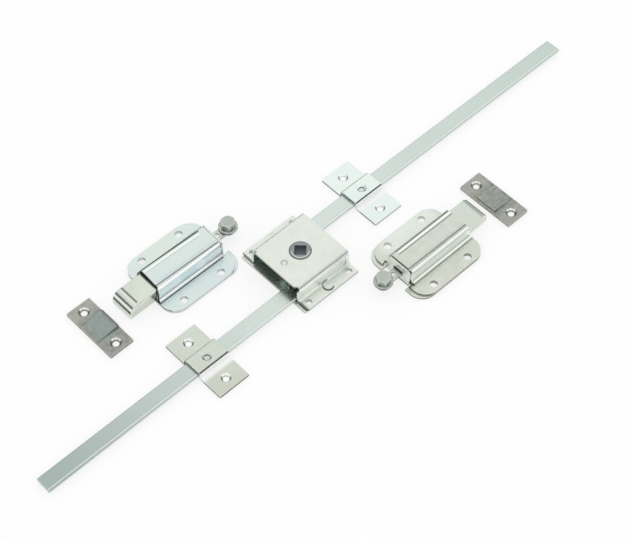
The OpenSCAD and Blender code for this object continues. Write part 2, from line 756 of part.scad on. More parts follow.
module clamp_screw() {
    head_z = strap_z1;
    color([0.72, 0.74, 0.72]) translate([screw_x, 0, 0]) {
        translate([0, 0, strap_z0 - nut_h]) cylinder(d = screw_d, h = head_z - strap_z0 + nut_h);
        translate([0, 0, head_z]) cylinder(d = screw_flange_d, h = screw_rim_t);
        translate([0, 0, head_z + screw_rim_t])
            cylinder(d1 = screw_flange_d, d2 = screw_af, h = screw_cone_t);
        intersection() {
            translate([0, 0, head_z]) cylinder(d = screw_af / cos(30), h = screw_head_h, $fn = 6);
            translate([0, 0, head_z]) cylinder(d1 = screw_af * 1.9, d2 = screw_af * 0.94,
                h = screw_head_h);
        }
    }
}

// Round press nut with a bevelled foot
module clamp_nut() {
    color([0.72, 0.74, 0.72]) translate([screw_x, 0, strap_z0 - nut_h]) difference() {
        union() {
            translate([0, 0, nut_edge]) cylinder(d = nut_d, h = nut_h - nut_edge);
            cylinder(d1 = nut_d - 2 * nut_edge, d2 = nut_d, h = nut_edge);
        }
        translate([0, 0, -1]) cylinder(d = screw_d, h = nut_h + 2);
    }
}

// Striker with its ramp rising towards -X, where the latch stands
module striker() {
    color([0.58, 0.57, 0.53]) difference() {
        union() {
            translate([0, 0, striker_t / 2]) cube([striker_w, striker_l, striker_t], center = true);
            translate([0, ramp_l / 2, 0]) rotate([90, 0, 0]) linear_extrude(ramp_l)
                polygon([[-striker_w / 2, 0], [striker_w / 2, 0], [striker_w / 2, striker_t],
                    [-striker_w / 2 + ramp_edge, striker_t + ramp_rise],
                    [-striker_w / 2, striker_t + ramp_rise - ramp_edge]]);
        }
        for (sy = [-1, 1]) translate([0, sy * striker_pitch / 2, 0])
            countersunk_hole(striker_hole_d, striker_sink_d, 0, striker_t);
    }
}

module striker1() {
    translate([striker_x1, latch_y, 0]) rotate(180) striker();
}

module striker2() {
    translate([striker_x2, -latch_y, 0]) striker();
}

lock_base_plate();
lock_cover();
lock_rivets();
lock_stop_rivet();
drive_hub();
hub_bearing_ring();
lower_bar();
upper_bar();
lower_guide();
upper_guide();
latch_at(1) back_plate();  // latch1_back_plate
latch_at(1) cover_plate();  // latch1_cover_plate
latch_at(1) latch_stop_pin();  // latch1_stop_pin
latch_at(1) slam_bolt(bolt_x1);  // latch1_slam_bolt
latch_at(1) tail_strap();  // latch1_tail_strap
latch_at(1) cross_pin();  // latch1_cross_pin
latch_at(1) coil_spring();  // latch1_spring
latch_at(1) clamp_screw();  // latch1_clamp_screw
latch_at(1) clamp_nut();  // latch1_clamp_nut
latch_at(2) back_plate();  // latch2_back_plate
latch_at(2) cover_plate();  // latch2_cover_plate
latch_at(2) latch_stop_pin();  // latch2_stop_pin
latch_at(2) slam_bolt(bolt_x1 - nose_cut);  // latch2_slam_bolt
latch_at(2) tail_strap();  // latch2_tail_strap
latch_at(2) cross_pin();  // latch2_cross_pin
latch_at(2) coil_spring();  // latch2_spring
latch_at(2) clamp_screw();  // latch2_clamp_screw
latch_at(2) clamp_nut();  // latch2_clamp_nut
striker1();
striker2();
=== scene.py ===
import json
import math
import bpy
import bmesh
from mathutils import Matrix, Vector


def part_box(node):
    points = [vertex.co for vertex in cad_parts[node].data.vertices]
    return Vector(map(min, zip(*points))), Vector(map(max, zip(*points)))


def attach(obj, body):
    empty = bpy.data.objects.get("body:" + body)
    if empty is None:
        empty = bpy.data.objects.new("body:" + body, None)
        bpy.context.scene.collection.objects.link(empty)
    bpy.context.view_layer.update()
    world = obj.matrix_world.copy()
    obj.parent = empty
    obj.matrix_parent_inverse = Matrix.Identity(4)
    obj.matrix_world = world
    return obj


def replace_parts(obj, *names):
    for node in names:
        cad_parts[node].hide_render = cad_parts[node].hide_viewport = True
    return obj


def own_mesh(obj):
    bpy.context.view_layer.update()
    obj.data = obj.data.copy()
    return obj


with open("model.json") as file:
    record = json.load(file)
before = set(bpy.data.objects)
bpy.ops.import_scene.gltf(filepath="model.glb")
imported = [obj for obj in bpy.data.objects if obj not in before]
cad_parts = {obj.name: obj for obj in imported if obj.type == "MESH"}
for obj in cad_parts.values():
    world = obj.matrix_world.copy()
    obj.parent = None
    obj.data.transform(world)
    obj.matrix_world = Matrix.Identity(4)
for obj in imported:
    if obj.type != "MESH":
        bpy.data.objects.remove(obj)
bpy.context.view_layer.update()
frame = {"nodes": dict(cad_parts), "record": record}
nodes = frame["nodes"]
scene = bpy.context.scene
mm = 0.001
print("frame loaded with", len(nodes), "CAD nodes")

# Camera: heading is how far the bars lean from the picture's horizontal
cameraPlace = {
    "lens": 96.57,
    "sensor": 36,
    "elevation": 54.45,
    "heading": 43.5,
    "distance": 1127.2 * mm,
    "lookAt": (4.0 * mm, -9.9 * mm, 0.0),
    "clip": (0.05, 20),
}


def fromPicture(across, away, up):
    # a direction given by the picture's axes, turned into the frame of the bars
    heading = math.radians(cameraPlace["heading"])
    return Vector((across * math.cos(heading) + away * math.sin(heading),
                   -across * math.sin(heading) + away * math.cos(heading), up))


def makeCamera(place):
    elevation = math.radians(place["elevation"])
    forward = fromPicture(0, math.cos(elevation), -math.sin(elevation))
    right = fromPicture(1, 0, 0)
    upward = right.cross(forward)
    data = bpy.data.cameras.new("productCamera")
    data.lens = place["lens"]
    data.sensor_width = place["sensor"]
    data.clip_start, data.clip_end = place["clip"]
    camera = bpy.data.objects.new("productCamera", data)
    turn = Matrix((right, upward, -forward)).transposed().to_4x4()
    camera.matrix_world = Matrix.Translation(Vector(place["lookAt"]) - forward * place["distance"]) @ turn
    scene.collection.objects.link(camera)
    scene.camera = camera


makeCamera(cameraPlace)
print("camera placed")


# Small helpers for node trees
def feed(tree, socket, value):
    # an input takes another node's output or a plain value
    if isinstance(value, bpy.types.NodeSocket):
        tree.links.new(value, socket)
    else:
        socket.default_value = value


def addNode(tree, kind, inputs=None, **settings):
    node = tree.nodes.new(kind)
    for key, value in settings.items():
        setattr(node, key, value)
    for key, value in (inputs or {}).items():
        feed(tree, node.inputs[key], value)
    return node


def mathNode(tree, operation, a, b=0.0, clamp=False):
    return addNode(tree, "ShaderNodeMath", {0: a, 1: b}, operation=operation, use_clamp=clamp).outputs[0]


def mixColours(tree, factor, a, b, blend="MIX"):
    # the mix node's colour sockets are its inputs 6 and 7 and its output 2
    node = addNode(tree, "ShaderNodeMix", data_type="RGBA", blend_type=blend)
    for socket, value in zip((node.inputs[0], node.inputs[6], node.inputs[7]), (factor, a, b)):
        feed(tree, socket, (*value, 1) if isinstance(value, tuple) else value)
    return node.outputs[2]


def mapped(tree, value, low, high, toLow, toHigh):
    inputs = {0: value, 1: low, 2: high, 3: toLow, 4: toHigh}
    return addNode(tree, "ShaderNodeMapRange", inputs).outputs[0]


# Where things are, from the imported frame
record = frame["record"]
bodyOf = {name: body for body, names in record["behaviour"]["bodies"].items() for name in names}
slotOf = {part["node"]: part["material_slot"] for part in record["subparts"]}
mountAt = {mount["name"]: Vector(mount["pos_m"]) / mm for mount in record["mounts"]}
pitchOf = {mount["name"]: mount["dims"].get("spacing_y_mm", 0.0) for mount in record["mounts"]}


def boxOf(name):
    # the low and the high corner of a CAD piece in millimetres
    return [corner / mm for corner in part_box(name)]


def latchPoint(number, along, away, up):
    # a point on a latch in millimetres: along its bolt, away across it, up from the door
    centre = mountAt["latch%d_holes" % number]
    return (centre.x + (-along if number == 1 else along), centre.y + away, up)


# Dark and bright lines along the bends and patches of light and shade on the walls, painted
# where the photograph shows them, so they don't follow the lamps. Each is a start, an end, a
# half width, a tone and a strength, and all sizes are in millimetres
lineTones = {
    "ink": (0.008, 0.01, 0.01), "dark": (0.07, 0.08, 0.08), "slate": (0.33, 0.39, 0.38),
    "grey": (0.38, 0.41, 0.39), "shade": (0.52, 0.53, 0.47), "steel": (0.52, 0.53, 0.48),
    "moss": (0.58, 0.70, 0.65), "soft": (0.72, 0.76, 0.71), "blue": (0.80, 0.94, 1.0),
    "ice": (0.90, 0.98, 1.0), "pale": (0.90, 0.97, 0.90), "white": (1.0, 1.0, 1.0), "chalk": (1.0, 1.0, 1.0),
}
# how much less metallic a line of these tones is, so that a painted highlight shows whatever the metal
# mirrors
softTones = {"ice": 0.6, "blue": 0.5, "pale": 0.6, "soft": 0.4, "white": 0.35, "chalk": 0.85}

# painted reflections, highlights and shade on a latch and its bolt, with painted shadow in the gap at the
# first bolt's mouth, as latchPoint takes them
latchOneLines = [
    ((27.6, 9.2, 14.1), (-21.8, 7.4, 14.7), 0.75, "dark", 1.0),
    ((26.0, 6.4, 14.9), (-20.5, 5.0, 15.0), 0.65, "white", 0.9),
    ((25.0, 5.2, 15.0), (-19.5, 3.8, 15.0), 0.28, "grey", 0.6),
    ((27.4, -7.3, 14.7), (-26.4, -8.3, 14.5), 0.55, "dark", 0.75),
    ((25.0, -5.6, 15.0), (-25.0, -6.4, 14.9), 0.25, "grey", 0.45),
    ((28.2, -9.7, 13.8), (-26.3, -9.9, 13.6), 1.0, "white", 1.0),
    ((29.6, -11.0, 8.6), (12.0, -11.0, 8.6), 4.2, "ice", 0.9),
    ((12.0, -11.0, 8.6), (-8.0, -11.0, 8.6), 4.2, "blue", 0.9),
    ((-8.0, -11.0, 8.6), (-25.5, -11.0, 8.6), 4.2, "ice", 0.9),
    ((29.6, -11.8, 3.8), (-26.3, -11.8, 3.8), 0.75, "white", 1.0),
    ((29.8, -13.4, 3.0), (-26.3, -13.4, 3.0), 0.6, "dark", 0.95),
    ((-26.2, -9.9, 13.2), (-26.3, -11.6, 3.6), 0.55, "dark", 0.8),
    ((-26.3, 7.4, 14.6), (-26.4, -8.4, 14.2), 0.8, "pale", 0.85),
    ((27.3, 7.8, 14.9), (28.2, -8.4, 14.5), 1.2, "ink", 1.0),
    ((28.3, -8.4, 14.5), (29.4, -11.2, 8.0), 1.4, "ink", 1.0),
    ((29.4, -11.2, 8.0), (29.8, -12.0, 3.2), 1.2, "ink", 1.0),
]
latchTwoLines = [
    ((-14.0, 20.5, 3.0), (20.0, 20.5, 3.0), 9.0, "pale", 0.55),
    ((-22.0, 8.4, 14.4), (29.0, 8.3, 14.4), 0.5, "dark", 0.7),
    ((-21.0, 6.9, 14.8), (28.2, 6.6, 14.8), 0.75, "white", 1.0),
    ((-22.0, 5.3, 15.0), (27.4, 4.8, 15.0), 0.45, "dark", 0.7),
    ((-25.8, -7.2, 14.7), (28.4, -7.6, 14.7), 0.5, "dark", 0.7),
    ((-25.6, -5.9, 14.9), (27.0, -6.1, 14.9), 0.22, "grey", 0.3),
    ((-26.0, -11.0, 8.6), (29.4, -11.0, 8.6), 4.2, "pale", 0.95),
    ((-26.0, -9.7, 13.8), (28.4, -9.8, 13.8), 0.75, "white", 0.8),
    ((-26.3, -11.8, 3.8), (29.4, -11.8, 3.8), 0.75, "white", 1.0),
    ((-26.4, -13.3, 3.0), (29.8, -13.3, 3.0), 0.45, "dark", 0.65),
    ((-26.3, 8.0, 14.6), (-26.3, -7.2, 14.8), 0.5, "dark", 0.7),
    ((-26.3, -9.6, 13.6), (-26.3, -12.0, 4.2), 0.8, "pale", 0.9),
    ((-26.2, -9.4, 13.9), (-26.3, -10.0, 13.2), 0.8, "dark", 1.0),
    ((-26.3, -12.2, 3.8), (-26.3, -12.8, 3.2), 0.8, "dark", 1.0),
    ((-28.6, 0.6, 0.9), (-29.2, -13.0, 0.9), 1.0, "dark", 0.9),
]
# painted reflections across the curved noses of the bolts, dark and light bands, and painted shade on the
# first bolt's near side
noseOneLines = [
    ((43.9, 7.8, 12.9), (43.9, -7.2, 12.9), 0.85, "dark", 0.75),
    ((45.4, 8.0, 12.4), (45.4, -7.4, 12.4), 0.4, "white", 0.5),
    ((48.6, 8.6, 10.9), (48.6, -8.2, 10.9), 0.75, "dark", 0.85),
    ((49.8, 8.6, 9.9), (49.8, -8.4, 9.9), 0.45, "white", 0.85),
    ((50.9, 8.6, 8.2), (50.9, -8.4, 8.2), 0.9, "dark", 0.75),
    ((33.0, -9.2, 6.0), (47.0, -9.2, 5.0), 4.0, "shade", 0.5),
]
noseTwoLines = [
    ((43.4, 8.2, 11.8), (43.4, -8.0, 11.8), 2.2, "dark", 0.4),
    ((44.6, 8.2, 11.0), (44.6, -8.0, 11.0), 1.2, "dark", 0.35),
]
# painted reflections, highlights and shade on the lock case, from the hub's axis
caseLines = [
    ((-22.5, -23.0, 9.0), (22.5, -23.0, 9.0), 4.6, "pale", 0.8),
    ((-20.0, -20.5, 1.5), (-20.0, 20.5, 1.5), 3.4, "moss", 0.92),
    ((-20.0, 20.9, 3.0), (-20.0, 20.9, 12.0), 3.4, "moss", 0.92),
    ((-22.6, -21.9, 15.3), (22.2, -21.9, 15.3), 0.55, "dark", 0.65),
    ((-22.9, -23.4, 2.6), (-22.9, -31.8, 2.6), 1.3, "dark", 0.95),
    ((-22.9, 23.4, 2.6), (-22.9, 31.8, 2.6), 1.0, "dark", 0.95),
    ((-22.5, 22.6, 15.2), (22.5, 22.6, 15.2), 1.5, "soft", 1.0),
    ((-22.8, -23.0, 13.2), (22.4, -23.0, 13.2), 0.95, "white", 0.9),
    ((-22.8, -23.1, 4.7), (22.6, -23.1, 4.7), 0.6, "white", 0.9),
    ((-22.2, -24.9, 3.5), (20.0, -24.9, 3.5), 0.3, "grey", 0.5),
]
# a painted highlight on a guide's near wall and painted reflections along its top bends, from the middle of
# its screw holes
guideLines = [
    ((-11.4, -8.9, 3.6), (11.4, -8.9, 3.6), 3.4, "chalk", 0.95),
    ((-11.8, -6.9, 6.6), (11.9, -6.9, 6.6), 0.6, "dark", 1.0),
    ((-11.2, 7.3, 6.5), (11.2, 7.3, 6.5), 0.9, "soft", 0.9),
]
# painted highlight and shade along a bar's rolled edge: across from its middle, height, then half width, tone
# and strength
barEdgeLines = [
    (-4.3, 4.7, 0.22, "grey", 0.5),
    (-5.0, 4.7, 0.5, "white", 0.5),
    (-5.95, 4.0, 0.3, "grey", 0.5),
]


def onLatch(number, lines):
    return [(latchPoint(number, *start), latchPoint(number, *end), *rest) for start, end, *rest in lines]


def onMount(name, lines):
    # lines that are drawn from the middle of a mount's screw holes
    centre = mountAt[name]
    return [(centre + Vector(start), centre + Vector(end), *rest) for start, end, *rest in lines]


def onBar(name):
    # painted highlight and shade on the rolled edges of the part of a bar that shows outside the lock case
    low, high = boxOf(name)
    caseLow, caseHigh = boxOf("lock_cover")
    middle = (low.y + high.y) / 2
    start, end = (low.x, caseLow.x) if middle < 0 else (caseHigh.x, high.x)
    return [((start, middle + across, height), (end, middle + across, height), *rest)
            for across, height, *rest in barEdgeLines]


# Strikers: how dark the painted shade on the ramp is, how light the painted sheen on the near and
# the far end plate is, and where along X the painted dark line on the ramp's high edge lies
strikerLooks = {
    "striker1": {"rampShade": 0.65, "nearShine": 0.15, "farShine": 0.45, "highEdge": 8.3},
    "striker2": {"rampShade": 0.3, "nearShine": 0.45, "farShine": 0.45, "highEdge": -9.4},
}


def strikerLines(name):
    # painted shade on the ramp, at its two steps and along its high edge, and painted sheen on the end plates
    look = strikerLooks[name]
    high = look["highEdge"]
    return onMount(name + "_holes", [
        ((0, -5, 4), (0, 5, 4), 8.5, "slate", look["rampShade"]),
        ((-9, -8.7, 3.2), (9, -8.7, 3.2), 0.6, "dark", 0.45),
        ((-9, 8.7, 3.2), (9, 8.7, 3.2), 0.6, "dark", 0.45),
        ((high, -8, 5.0), (high, 8, 5.0), 0.9, "dark", 0.5),
        ((-6, -18.5, 3), (6, -18.5, 3), 7.0, "steel", look["nearShine"]),
        ((-6, 18.5, 3), (6, 18.5, 3), 7.0, "steel", look["farShine"]),
    ])


# Round lines of painted light and shade: how far under the top, radius, start, stop, then half
# width, tone and strength. Their angles are in degrees as the picture shows them, 0 to the right and 90 away
# painted shade in the gap round the hub's top and a painted highlight on its chamfer
hubRings = [
    (0, 7.3, 180, 372, 0.5, "dark", 0.9),
    (0, 6.2, 190, 350, 0.35, "white", 0.55),
]
# painted shade under a case rivet's head and at the rim of the stop rivet's dish
rivetRings = [(0.6, 3.9, 185, 345, 0.6, "dark", 0.85)]
stopRivetRings = [(0, 1.9, -60, 240, 0.4, "grey", 0.9)]
# the shade under a clamp screw's flange and at the foot of its hexagon
screwRings = [
    (6.2, 6.7, 175, 290, 0.75, "dark", 0.9),
    (4.4, 5.5, 226, 246, 0.6, "dark", 0.7),
    (4.4, 5.5, 286, 306, 0.6, "dark", 0.6),
]
# painted shade and three painted highlights, bright lobes, in a countersink, with no radius, which sinkLooks
# gives
sinkRings = [(0, 160, 225, 0.7, "dark", 0.6), (0, -45, 20, 0.7, "dark", 0.6)] + [
    (0, turn - 10, turn + 10, 0.75, "white", 0.95) for turn in (46, 90, 134)]
sinkLooks = {
    "lower_guide": {"height": 1.35, "radius": 3.0},
    "upper_guide": {"height": 1.35, "radius": 3.0},
    "striker1": {"height": 2.0, "radius": 3.3},
    "striker2": {"height": 2.0, "radius": 3.3},
}
arcStep = 24  # degrees that one straight piece of a round line may turn


def arcLines(centre, radius, start, stop, *rest):
    # a round line in short straight pieces
    count = max(1, math.ceil((stop - start) / arcStep))
    turns = [math.radians(start + (stop - start) * i / count) for i in range(count + 1)]
    points = [centre + radius * fromPicture(math.cos(turn), math.sin(turn), 0) for turn in turns]
    return [(first, last, *rest) for first, last in zip(points, points[1:])]


def ringLines(top, rings):
    return [line for depth, *ring in rings for line in arcLines(top - Vector((0, 0, depth)), *ring)]


def topMiddle(name):
    low, high = boxOf(name)
    return Vector(((low.x + high.x) / 2, (low.y + high.y) / 2, high.z))


def hubLines():
    return ringLines(Vector((0, 0, boxOf("drive_hub")[1].z)), hubRings)


def rivetLines():
    # painted shade round the case rivet nearest to the camera, whose head reaches its radius along X,
    # and in the dished head of the stop rivet
    low, high = boxOf("lock_rivets")
    nearest = Vector((0, low.y + high.x, high.z))
    return ringLines(nearest, rivetRings) + ringLines(topMiddle("lock_stop_rivet"), stopRivetRings)


def screwLines():
    return [line for number in (1, 2)
            for line in ringLines(topMiddle("latch%d_clamp_screw" % number), screwRings)]


def sinkLines(name):
    # light and shade round the two countersinks of a guide or a striker
    look = sinkLooks[name]
    centre = mountAt[name + "_holes"]
    halfPitch = pitchOf[name + "_holes"] / 2
    rings = [(depth, look["radius"], *rest) for depth, *rest in sinkRings]
    return [line for side in (-halfPitch, halfPitch)
            for line in ringLines(Vector((centre.x, centre.y + side, look["height"])), rings)]


# Metal finishes. Colours are the plain tone of the metal, except that the tone of cut faces is also
# painted shade and the light tone of rounded edges is partly rubbed metal, partly a painted highlight.
# Scales are in marks per metre. far is the tone that a long bar takes towards its free ends: where
# along X it starts and where it is full, in millimetres, and the tone
platedLook = {
    "base": (0.80, 0.86, 0.79), "tint": (0.76, 0.84, 0.83), "tintScale": 26, "far": [],
    "rough": 0.27, "roughSpread": 0.04, "grain": 0.012, "grainScale": (60, 1700, 1700), "grainBump": 0.006,
    "mottle": 0.018, "mottleScale": 320, "marks": 0.12, "markScale": (90, 700, 400),
    "markTurn": (0.3, 0.2, 0.7), "markWidth": 0.035, "markShade": 0.25, "markRough": 0.2,
    "cutEdge": (0.42, 0.44, 0.42), "sheetEdge": 1.0, "worn": (0.93, 0.95, 0.93), "wornShare": (0.25, 0.6),
    "lines": [],
}
finishes = {
    "case_plate": dict(
        platedLook, base=(0.80, 0.83, 0.76), tint=(0.77, 0.81, 0.75), rough=0.32, mottle=0.09,
        mottleScale=150, lines=caseLines),
    "latch_plate": dict(
        platedLook, base=(0.73, 0.81, 0.75), tint=(0.695, 0.79, 0.785), tintScale=18, sheetEdge=0.3,
        cutEdge=(0.05, 0.055, 0.05), lines=onLatch(1, latchOneLines)),
    "latch_plate_second": dict(
        platedLook, base=(0.68, 0.695, 0.61), tint=(0.67, 0.71, 0.635), tintScale=18, mottle=0.14,
        mottleScale=190, cutEdge=(0.17, 0.17, 0.15), lines=onLatch(2, latchTwoLines)),
    "guide_plate": dict(
        platedLook, base=(0.85, 0.92, 0.87), tint=(0.81, 0.90, 0.88), grainScale=(1700, 60, 1700),
        cutEdge=(0.20, 0.24, 0.22), sheetEdge=0.7,
        lines=onMount("lower_guide_holes", guideLines) + onMount("upper_guide_holes", guideLines)
        + sinkLines("lower_guide") + sinkLines("upper_guide")),
    "bar_plate": dict(
        platedLook, base=(0.69, 0.76, 0.72), tint=(0.66, 0.73, 0.69), tintScale=12, grain=0.018,
        grainScale=(25, 2200, 2200), grainBump=0.004,
        far=[(-45, -215, (0.41, 0.49, 0.47)), (60, 270, (0.57, 0.67, 0.62))],
        lines=onBar("lower_bar") + onBar("upper_bar")),
    "bolt_steel": dict(
        platedLook, base=(0.72, 0.77, 0.68), tint=(0.67, 0.72, 0.64), rough=0.24, grain=0.025,
        grainScale=(1400, 50, 1400), marks=0.2, lines=onLatch(1, noseOneLines) + onLatch(2, noseTwoLines)),
    "strap_steel": dict(platedLook, base=(0.66, 0.69, 0.62), tint=(0.58, 0.61, 0.56), rough=0.34),
    "striker_steel": dict(
        platedLook, base=(0.345, 0.35, 0.305), tint=(0.28, 0.30, 0.27), rough=0.40, grain=0.06,
        grainScale=(260, 900, 900), mottle=0.75, mottleScale=380, marks=0.3,
        cutEdge=(0.24, 0.25, 0.23), worn=(0.62, 0.64, 0.60),
        lines=strikerLines("striker1") + strikerLines("striker2")
        + sinkLines("striker1") + sinkLines("striker2")),
    "rivet_steel": dict(platedLook, base=(0.74, 0.79, 0.73), tint=(0.70, 0.76, 0.70), lines=rivetLines()),
    "pin_steel": dict(platedLook, base=(0.30, 0.30, 0.29), tint=(0.26, 0.26, 0.26), rough=0.35),
    "spring_steel": dict(platedLook, base=(0.22, 0.22, 0.23), tint=(0.17, 0.17, 0.18), rough=0.38),
    "screw_plate": dict(
        platedLook, base=(0.54, 0.58, 0.53), tint=(0.46, 0.50, 0.46), rough=0.30, mottle=0.05,
        cutEdge=(0.26, 0.29, 0.26), sheetEdge=0.6, lines=screwLines()),
    "hub_steel": dict(
        platedLook, base=(0.33, 0.36, 0.35), tint=(0.24, 0.26, 0.26), rough=0.34, grain=0.05,
        mottleScale=1400, cutEdge=(0.17, 0.20, 0.22), worn=(0.66, 0.72, 0.74), lines=hubLines()),
    "ring_brass": dict(platedLook, base=(0.66, 0.50, 0.24), tint=(0.60, 0.44, 0.2), rough=0.3),
}
finishes["guide_plate_warm"] = dict(
    finishes["guide_plate"], base=(0.62, 0.65, 0.56), tint=(0.66, 0.71, 0.63),
    cutEdge=(0.05, 0.05, 0.04), sheetEdge=0.95)
# pieces that take a darker, warmer copy of their finish
darkerWarmerCopies = {
    "latch2_back_plate": "latch_plate_second", "latch2_cover_plate": "latch_plate_second",
    "lower_guide": "guide_plate_warm",
}
# the part of a noise's range that each of its uses spreads out
noiseSpan = {"tint": (0.35, 0.65), "worn": (0.35, 0.65), "rough": (0.3, 0.7), "marks": (0.5, 0.62)}
bumpLook = {"grain": 0.6, "mottle": 0.4, "depth": 0.1 * mm}
lineFade = (0.55, 1.15)  # where a line starts to fade and where it ends, as shares of its half width


def lineMask(tree, place, start, end, halfWidth):
    # 1 along the line from start to end, falling to 0 at its border
    foot, run = Vector(start) * mm, (Vector(end) - Vector(start)) * mm
    off = addNode(tree, "ShaderNodeVectorMath", {0: place, 1: foot}, operation="SUBTRACT").outputs[0]
    share = addNode(tree, "ShaderNodeVectorMath", {0: off, 1: run / run.length_squared},
                    operation="DOT_PRODUCT").outputs["Value"]
    share = mathNode(tree, "ADD", share, 0.0, clamp=True)
    nearest = addNode(tree, "ShaderNodeVectorMath", {0: run, "Scale": share}, operation="SCALE").outputs[0]
    gap = addNode(tree, "ShaderNodeVectorMath", {0: off, 1: nearest}, operation="DISTANCE").outputs["Value"]
    return mapped(tree, gap, halfWidth * lineFade[0] * mm, halfWidth * lineFade[1] * mm, 1.0, 0.0)


def makeNoises(tree, place, look):
    # the drawn grain, the slow change of tint, the mottle and the faint handling marks
    drawn = addNode(tree, "ShaderNodeMapping", {"Vector": place, "Scale": look["grainScale"]}).outputs[0]
    grain = addNode(tree, "ShaderNodeTexNoise", {"Vector": drawn, "Scale": 1.0, "Detail": 3.0}).outputs["Fac"]
    cloud = addNode(tree, "ShaderNodeTexNoise", {
        "Vector": place, "Scale": look["tintScale"], "Detail": 2.0}).outputs["Fac"]
    mottle = addNode(tree, "ShaderNodeTexNoise", {
        "Vector": place, "Scale": look["mottleScale"], "Detail": 4.0, "Roughness": 0.62}).outputs["Fac"]
    # the marks are the borders of long thin cells that lie aslant
    turned = addNode(tree, "ShaderNodeMapping", {
        "Vector": place, "Rotation": look["markTurn"], "Scale": look["markScale"]}).outputs[0]
    cells = addNode(tree, "ShaderNodeTexVoronoi", {"Vector": turned, "Scale": 1.0},
                    feature="DISTANCE_TO_EDGE").outputs[0]
    marks = mathNode(tree, "MULTIPLY", mapped(tree, cells, 0.0, look["markWidth"], 1.0, 0.0),
                     mapped(tree, cloud, *noiseSpan["marks"], 0.0, look["marks"]))
    return {"grain": grain, "cloud": cloud, "mottle": mottle, "marks": marks}


def plainColour(tree, place, look, noises):
    tint = mapped(tree, noises["cloud"], *noiseSpan["tint"], 0.0, 1.0)
    colour = mixColours(tree, tint, look["base"], look["tint"])
    for start, full, tone in look["far"]:
        x = addNode(tree, "ShaderNodeSeparateXYZ", {"Vector": place}).outputs["X"]
        colour = mixColours(tree, mapped(tree, x, start * mm, full * mm, 0.0, 1.0), colour, tone)
    # a noise lies round one half, so twice its strength comes off and its strength goes on
    shade = mathNode(tree, "ADD", mathNode(tree, "MULTIPLY", noises["grain"], look["grain"] * 2),
                     mathNode(tree, "MULTIPLY", noises["mottle"], look["mottle"] * 2))
    shade = mathNode(tree, "SUBTRACT", 1.0 + look["grain"] + look["mottle"], shade)
    shade = mathNode(tree, "SUBTRACT", shade, mathNode(tree, "MULTIPLY", noises["marks"], look["markShade"]))
    grey = addNode(tree, "ShaderNodeCombineColor", {0: shade, 1: shade, 2: shade}).outputs[0]
    colour = mixColours(tree, 1.0, colour, grey, "MULTIPLY")
    # cut faces of the sheet, darker as cut steel and as painted shade, and the ends that face -X at full
    # strength, as painted shade; then the rounded edges, lighter in places where rubbed and as a painted
    # highlight
    cut = addNode(tree, "ShaderNodeAttribute", attribute_name="cutFace").outputs["Fac"]
    ends = addNode(tree, "ShaderNodeAttribute", attribute_name="shadedEndFace").outputs["Fac"]
    cut = mathNode(tree, "MAXIMUM", ends, mathNode(tree, "MULTIPLY", cut, look["sheetEdge"]))
    colour = mixColours(tree, cut, colour, look["cutEdge"])
    worn = addNode(tree, "ShaderNodeAttribute", attribute_name="roundedEdge").outputs["Fac"]
    edgeRubAndSheenAmount = mapped(tree, noises["mottle"], *noiseSpan["worn"], *look["wornShare"])
    return mixColours(tree, mathNode(tree, "MULTIPLY", worn, edgeRubAndSheenAmount), colour, look["worn"])


def drawLines(tree, place, colour, lines):
    # the colour with the painted light and shade of the lines over it, and how metallic that leaves each
    # place
    metallic = 1.0
    for start, end, halfWidth, tone, strength in lines:
        mask = mathNode(tree, "MULTIPLY", lineMask(tree, place, start, end, halfWidth), strength)
        colour = mixColours(tree, mask, colour, lineTones[tone])
        if tone in softTones:
            loss = mathNode(tree, "MULTIPLY", mask, softTones[tone])
            metallic = mathNode(tree, "SUBTRACT", metallic, loss, clamp=True)
    return colour, metallic


def makeMetal(name, look):
    material = bpy.data.materials.new(name)
    material.use_nodes = True
    tree = material.node_tree
    surface = tree.nodes["Principled BSDF"]
    place = addNode(tree, "ShaderNodeTexCoord").outputs["Object"]
    noises = makeNoises(tree, place, look)
    colour = plainColour(tree, place, look, noises)
    colour, metallic = drawLines(tree, place, colour, look["lines"])
    smoothest, roughest = look["rough"] - look["roughSpread"], look["rough"] + look["roughSpread"]
    rough = mapped(tree, noises["grain"], *noiseSpan["rough"], smoothest, roughest)
    rough = mathNode(tree, "ADD", rough, mathNode(tree, "MULTIPLY", noises["marks"], look["markRough"]))
    height = mathNode(tree, "ADD", mathNode(tree, "MULTIPLY", noises["grain"], bumpLook["grain"]),
                      mathNode(tree, "MULTIPLY", noises["mottle"], bumpLook["mottle"]))
    height = mathNode(tree, "SUBTRACT", height, noises["marks"])
    bump = addNode(tree, "ShaderNodeBump", {
        "Strength": look["grainBump"], "Distance": bumpLook["depth"], "Height": height}).outputs[0]
    result = {"Base Color": colour, "Metallic": metallic, "Roughness": rough, "Normal": bump}
    for socket, value in result.items():
        feed(tree, surface.inputs[socket], value)
    return material


metals = {name: makeMetal(name, look) for name, look in finishes.items()}


def finishOf(name):
    return metals[darkerWarmerCopies.get(name, slotOf[name])]


for name, obj in nodes.items():
    obj.data.materials.clear()
    obj.data.materials.append(finishOf(name))
print("metal finishes made:", len(metals))


def meshPiece(name, mesh, body):
    piece = bpy.data.objects.new(name, mesh)
    scene.collection.objects.link(piece)
    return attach(piece, body)


